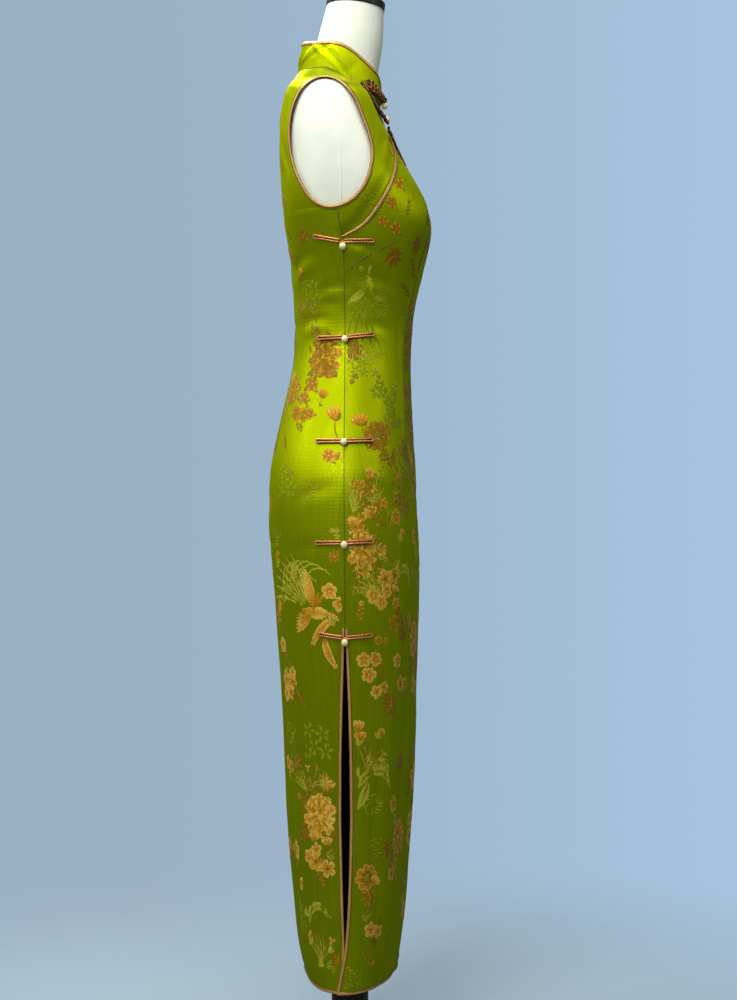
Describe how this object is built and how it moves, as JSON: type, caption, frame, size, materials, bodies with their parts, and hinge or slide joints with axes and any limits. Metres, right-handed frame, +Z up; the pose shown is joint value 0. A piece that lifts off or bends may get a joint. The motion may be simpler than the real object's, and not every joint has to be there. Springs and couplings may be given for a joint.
{
  "type": "cheongsam dress on dress form",
  "caption": "Sleeveless full-length cheongsam with stand collar, side frogs and side slits, worn by a limbless dress form on a round steel base.",
  "frame": {"origin": "on the floor, on the axis of the pole, under the middle of the base", "axes": "+Z up; the dress faces -Y; the wearer's right side, where the dress opens, is at -X"},
  "size_m": [0.38, 0.38, 1.5882],
  "materials": {
    "green_silk": "silk satin jacquard, woven with flowers and birds",
    "copper_satin": "satin, cut on the bias",
    "pearl_bead": "glossy, pearl-like",
    "form_jersey": "plain white jersey cover",
    "black_steel": "dark powder coat"
  },
  "bodies": {
    "root": {"front_panel": "green_silk", "under_flap": "green_silk", "back_panel": "green_silk", "collar": "green_silk", "collar_binding": "copper_satin", "placket_binding": "copper_satin", "armhole_binding_right": "copper_satin", "armhole_binding_left": "copper_satin", "front_hem_binding": "copper_satin", "back_hem_binding": "copper_satin", "side_frog_1_front": "copper_satin", "side_frog_1_back": "copper_satin", "side_frog_1_bead": "pearl_bead", "side_frog_2_front": "copper_satin", "side_frog_2_back": "copper_satin", "side_frog_2_bead": "pearl_bead", "side_frog_3_front": "copper_satin", "side_frog_3_back": "copper_satin", "side_frog_3_bead": "pearl_bead", "side_frog_4_front": "copper_satin", "side_frog_4_back": "copper_satin", "side_frog_4_bead": "pearl_bead", "side_frog_5_front": "copper_satin", "side_frog_5_back": "copper_satin", "side_frog_5_bead": "pearl_bead", "collar_frog_right": "copper_satin", "collar_frog_left": "copper_satin", "collar_frog_bead": "pearl_bead", "chest_frog_right": "copper_satin", "chest_frog_left": "copper_satin", "chest_frog_bead": "pearl_bead", "dress_form": "form_jersey", "neck_cap": "black_steel", "stand_pole": "black_steel", "stand_base": "black_steel"}
  },
  "joints": []
}
